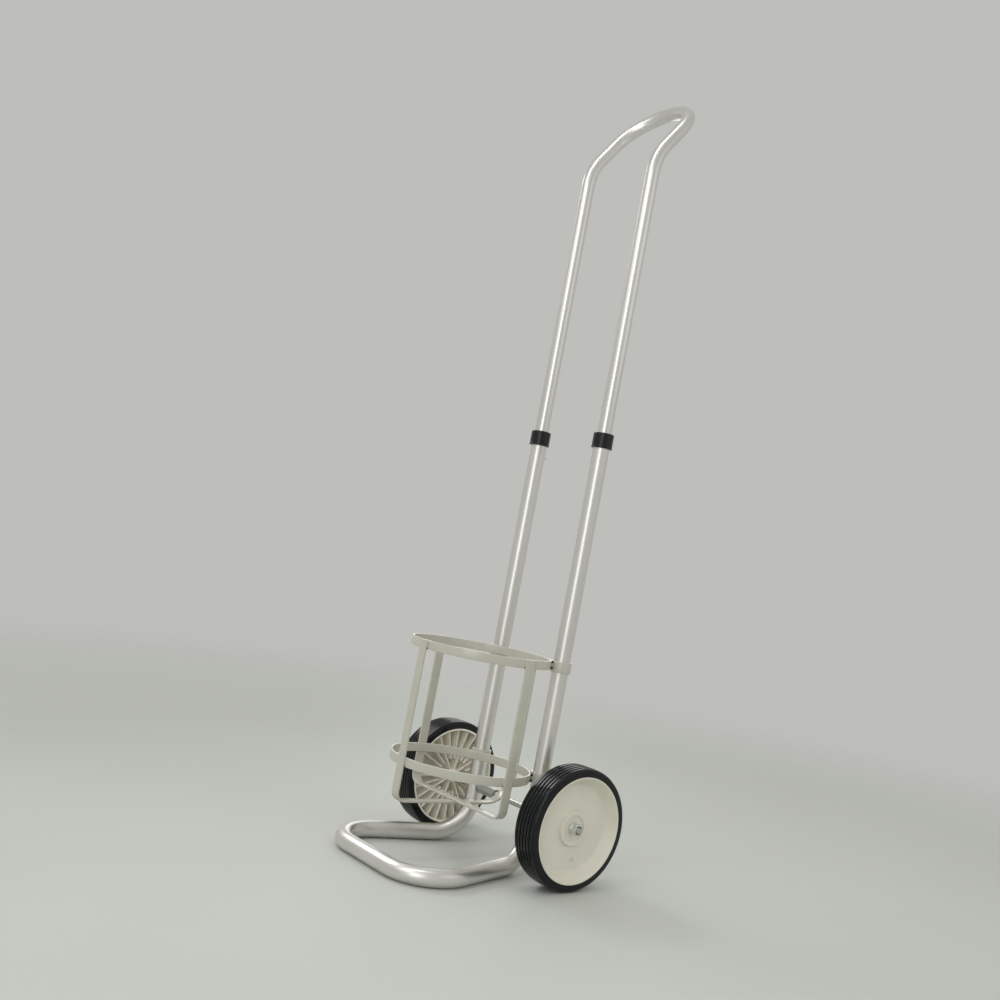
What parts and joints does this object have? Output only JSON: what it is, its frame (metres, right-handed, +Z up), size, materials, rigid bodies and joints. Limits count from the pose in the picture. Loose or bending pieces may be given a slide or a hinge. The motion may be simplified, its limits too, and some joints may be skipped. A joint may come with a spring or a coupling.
{
  "type": "gas cylinder trolley",
  "caption": "Hand trolley for a gas cylinder: bent tube frame with a splayed foot, telescopic bent-back handle, hoop basket with crossed straps and dished wheels.",
  "frame": {"origin": "centre of the footprint's box on the floor, between the wheels and behind the foot's front bar", "axes": "+Z up, +Y to the rear, the way that the handle bends, +X to the right as seen from the foot, looking to the rear"},
  "size_m": [0.342, 0.3772, 1.2147],
  "materials": {
    "anodised_aluminium": "satin",
    "beige_paint": "semi-gloss",
    "beige_plastic": "satin",
    "black_plastic": "matte",
    "tyre_rubber": "matte",
    "zinc": "zinc plated",
    "spring_steel": "blued",
    "bearing_plastic": "satin"
  },
  "bodies": {
    "frame": {"base_frame": "anodised_aluminium", "collar_left": "black_plastic", "collar_right": "black_plastic", "top_ring": "beige_paint", "lower_ring": "beige_paint", "front_strap": "beige_paint", "side_strap": "beige_paint", "upper_clamp_left": "beige_paint", "upper_clamp_right": "beige_paint", "lower_clamp_left": "beige_paint", "lower_clamp_right": "beige_paint", "clamp_rivets": "beige_paint", "axle_left": "zinc", "axle_right": "zinc", "axle_coupling": "zinc", "inner_washers": "zinc", "inner_nuts": "zinc", "spacer_left": "zinc", "spacer_right": "zinc", "washer_outer_left": "zinc", "washer_outer_right": "zinc", "lock_nut_left": "zinc", "lock_nut_right": "zinc"},
    "handle": {"handle_tube": "anodised_aluminium", "leg_plug_left": "black_plastic", "leg_plug_right": "black_plastic", "snap_spring_left": "spring_steel", "snap_spring_right": "spring_steel"},
    "left_button": {"snap_button_left": "zinc"},
    "right_button": {"snap_button_right": "zinc"},
    "left_wheel": {"hub_left": "beige_plastic", "bush_left": "bearing_plastic", "tyre_left": "tyre_rubber"},
    "right_wheel": {"hub_right": "beige_plastic", "bush_right": "bearing_plastic", "tyre_right": "tyre_rubber"}
  },
  "joints": [
    {"name": "left_wheel_spin", "type": "hinge", "parent": "frame", "child": "left_wheel", "pos_m": [0, 0.05493, 0.0875], "axis": [1, 0, 0], "continuous": true},
    {"name": "right_wheel_spin", "type": "hinge", "parent": "frame", "child": "right_wheel", "pos_m": [0, 0.05493, 0.0875], "axis": [1, 0, 0], "continuous": true},
    {"name": "handle_slide", "type": "slide", "parent": "frame", "child": "handle", "axis": [0, 0.0349, 0.9994], "range_m": [-0.3, 0]},
    {"name": "left_button_press", "type": "slide", "parent": "handle", "child": "left_button", "axis": [0.3746, 0.9266, -0.0324], "range_m": [-0.005, 0], "stiffness_N_per_m": 1500, "springref_m": 0.001, "deforming": ["snap_spring_left"]},
    {"name": "right_button_press", "type": "slide", "parent": "handle", "child": "right_button", "axis": [-0.3746, 0.9266, -0.0324], "range_m": [-0.005, 0], "stiffness_N_per_m": 1500, "springref_m": 0.001, "deforming": ["snap_spring_right"]}
  ]
}
